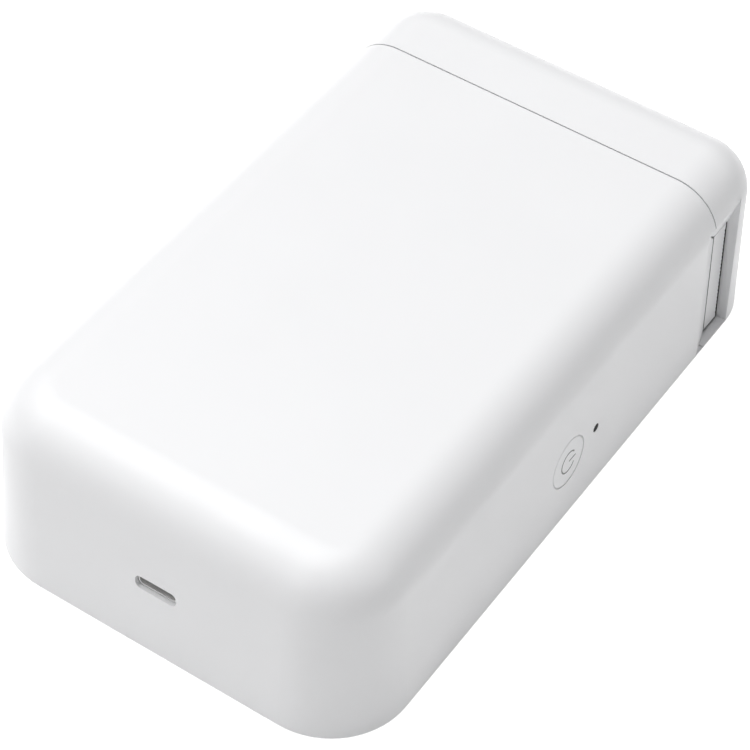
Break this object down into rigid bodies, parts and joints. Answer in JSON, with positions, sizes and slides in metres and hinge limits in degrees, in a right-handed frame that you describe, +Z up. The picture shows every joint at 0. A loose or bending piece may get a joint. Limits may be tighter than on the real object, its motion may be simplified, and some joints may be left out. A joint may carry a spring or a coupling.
{
  "type": "portable label printer",
  "caption": "Handheld label printer: white rounded housing, hinged end cover with platen, label roll bay, print head, gear train, button and charging socket.",
  "frame": {"origin": "middle of the footprint, on the surface the feet stand on", "axes": "+X to the button and label slot side, +Y along the printer to the end cover, +Z up"},
  "size_m": [0.077, 0.1298, 0.0364],
  "materials": {
    "shell_plastic": "satin",
    "frame_plastic": "matte",
    "foot_rubber": "matte",
    "fastener_steel": "satin",
    "shaft_steel": "polished",
    "spring_steel": "satin",
    "plate_steel": "satin",
    "motor_steel": "satin",
    "socket_steel": "bright",
    "black_plastic": "matte",
    "smoked_plastic": "gloss",
    "lamp_resin": "gloss",
    "switch_metal": "satin",
    "board_green": "solder mask",
    "shield_metal": "satin",
    "ivory_plastic": "matte",
    "battery_foil": "satin",
    "lead_insulation": "satin",
    "ribbon_insulation": "satin",
    "flex_film": "satin",
    "gear_plastic": "satin",
    "pinion_brass": "machined",
    "bush_plastic": "satin",
    "sink_aluminium": "satin",
    "head_ceramic": "glazed",
    "platen_rubber": "matte",
    "label_paper": "matte",
    "core_board": "matte"
  },
  "bodies": {
    "printer_body": {"upper_shell": "shell_plastic", "base_plate": "shell_plastic", "foot_pads": "foot_rubber", "base_screws": "fastener_steel", "chassis": "frame_plastic", "tear_bar": "shell_plastic", "power_switch": "black_plastic", "light_pipe": "smoked_plastic", "status_lamp": "lamp_resin", "charging_socket": "socket_steel", "socket_tongue": "black_plastic", "main_board": "board_green", "board_screws": "fastener_steel", "board_chips": "black_plastic", "radio_module": "shield_metal", "wire_sockets": "ivory_plastic", "battery_pack": "battery_foil", "battery_leads": "lead_insulation", "feed_motor": "motor_steel", "motor_leads": "ribbon_insulation", "gear_plate": "plate_steel", "plate_screws": "fastener_steel", "gear_axles": "shaft_steel", "head_pivot_pin": "shaft_steel", "head_flex": "flex_film", "flex_socket": "black_plastic", "label_sensor": "black_plastic", "hinge_pin": "shaft_steel"},
    "cover": {"end_cover": "shell_plastic", "cover_frame": "frame_plastic", "frame_screws": "fastener_steel", "platen_bushes": "bush_plastic"},
    "platen": {"platen_shaft": "shaft_steel", "platen_roller": "platen_rubber", "platen_gear": "gear_plastic"},
    "idler": {"idler_gear": "gear_plastic"},
    "reduction": {"reduction_gear": "gear_plastic"},
    "pinion": {"motor_pinion": "pinion_brass"},
    "head": {"head_heat_sink": "sink_aluminium", "print_head": "head_ceramic", "head_spring": "spring_steel"},
    "roll": {"label_roll": "label_paper", "roll_core": "core_board"},
    "button": {"power_button": "shell_plastic", "switch_plunger": "switch_metal"}
  },
  "joints": [
    {"name": "cover_hinge", "type": "hinge", "parent": "printer_body", "child": "cover", "pos_m": [-0.0365, 0.04525, 0.01], "axis": [0, 0, 1], "range_deg": [0, 90]},
    {"name": "platen_spin", "type": "hinge", "parent": "cover", "child": "platen", "pos_m": [0.026, 0.05685, 0.014], "axis": [0, 0, 1], "continuous": true},
    {"name": "idler_spin", "type": "hinge", "parent": "printer_body", "child": "idler", "pos_m": [0.027, 0.04735, 0.027], "axis": [0, 0, 1], "continuous": true},
    {"name": "reduction_spin", "type": "hinge", "parent": "printer_body", "child": "reduction", "pos_m": [0.0215, 0.0408, 0.029], "axis": [0, 0, 1], "continuous": true},
    {"name": "pinion_spin", "type": "hinge", "parent": "printer_body", "child": "pinion", "pos_m": [0.02333, 0.03041, 0.029], "axis": [0, 0, 1], "continuous": true},
    {"name": "head_pivot", "type": "hinge", "parent": "printer_body", "child": "head", "pos_m": [0.0152, 0.0504, 0.014], "axis": [0, 0, 1], "range_deg": [-2.5, 0], "stiffness_Nm_per_rad": 0.5},
    {"name": "roll_spin", "type": "hinge", "parent": "printer_body", "child": "roll", "pos_m": [-0.01, 0.024, 0.013], "axis": [0, 0, 1], "continuous": true},
    {"name": "button_press", "type": "slide", "parent": "printer_body", "child": "button", "axis": [-0.9988, 0, -0.048], "range_m": [0, 0.0005], "stiffness_N_per_m": 2000}
  ],
  "couplings": [
    {"joint": "idler_spin", "follows": "platen_spin", "ratio": -0.72727},
    {"joint": "reduction_spin", "follows": "platen_spin", "ratio": 1.3333},
    {"joint": "pinion_spin", "follows": "platen_spin", "ratio": -4.2667}
  ]
}
